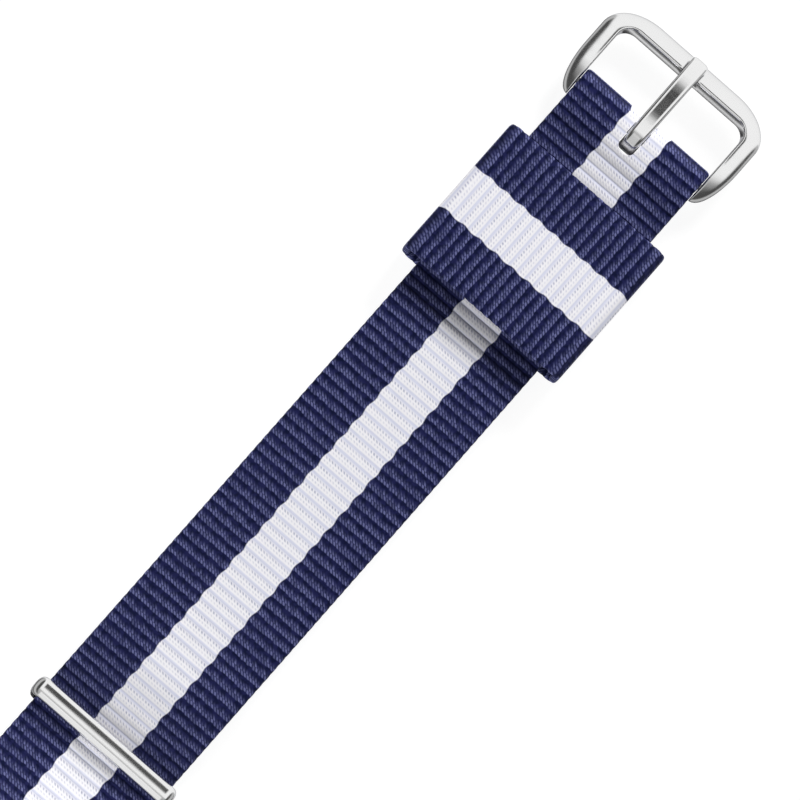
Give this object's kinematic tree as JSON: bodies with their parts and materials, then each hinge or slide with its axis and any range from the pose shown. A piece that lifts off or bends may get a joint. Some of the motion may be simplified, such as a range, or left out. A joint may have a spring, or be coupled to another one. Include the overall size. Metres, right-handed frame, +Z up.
{
  "type": "watch strap",
  "caption": "Pass-through watch strap of striped woven webbing with a pin buckle on a sprung bar, a loose webbing keeper and a metal ring sewn into the short under-strap.",
  "frame": {"origin": "on the surface that the strap lies on, under the middle of its length and of its width", "axes": "+X along the strap toward the buckle, +Y across it, +Z up from the wrist side to the outer side"},
  "size_m": [0.265, 0.0252, 0.0072],
  "materials": {
    "webbing": "woven nylon, matt, with a white stripe along the middle",
    "thread": "sewing thread",
    "polished_steel": "polished",
    "spring_bar_steel": "turned"
  },
  "bodies": {
    "strap": {"main_strap": "webbing", "short_strap": "webbing", "fold_stitching": "thread", "ring_loop_stitching": "thread"},
    "keeper": {"keeper_loop": "webbing", "keeper_stitching": "thread"},
    "buckle": {"buckle_frame": "polished_steel", "spring_bar_tube": "spring_bar_steel", "spring_bar_spring": "spring_bar_steel"},
    "tip_left": {"spring_bar_tip_left": "polished_steel"},
    "tip_right": {"spring_bar_tip_right": "polished_steel"},
    "tongue": {"buckle_tongue": "polished_steel"},
    "ring": {"strap_ring": "polished_steel"}
  },
  "joints": [
    {"name": "keeper_slide", "type": "slide", "parent": "strap", "child": "keeper", "axis": [1, 0, 0], "range_m": [-0.054, 0.006]},
    {"name": "buckle_swing", "type": "hinge", "parent": "strap", "child": "buckle", "pos_m": [0.12044, 0, 0.00371], "axis": [0, -1, 0], "range_deg": [-90, 15]},
    {"name": "tongue_lift", "type": "hinge", "parent": "buckle", "child": "tongue", "pos_m": [0.12044, 0, 0.00371], "axis": [0, -1, 0], "range_deg": [0, 75]},
    {"name": "tip_left_press", "type": "slide", "parent": "buckle", "child": "tip_left", "axis": [0, -1, 0], "range_m": [0, 0.0008], "stiffness_N_per_m": 400, "deforming": ["spring_bar_spring"]},
    {"name": "tip_right_press", "type": "slide", "parent": "buckle", "child": "tip_right", "axis": [0, 1, 0], "range_m": [0, 0.0008], "stiffness_N_per_m": 400, "deforming": ["spring_bar_spring"]},
    {"name": "ring_tilt", "type": "hinge", "parent": "strap", "child": "ring", "pos_m": [0.01924, 0, 0.00234], "axis": [0, -1, 0], "range_deg": [-12, 12]}
  ]
}
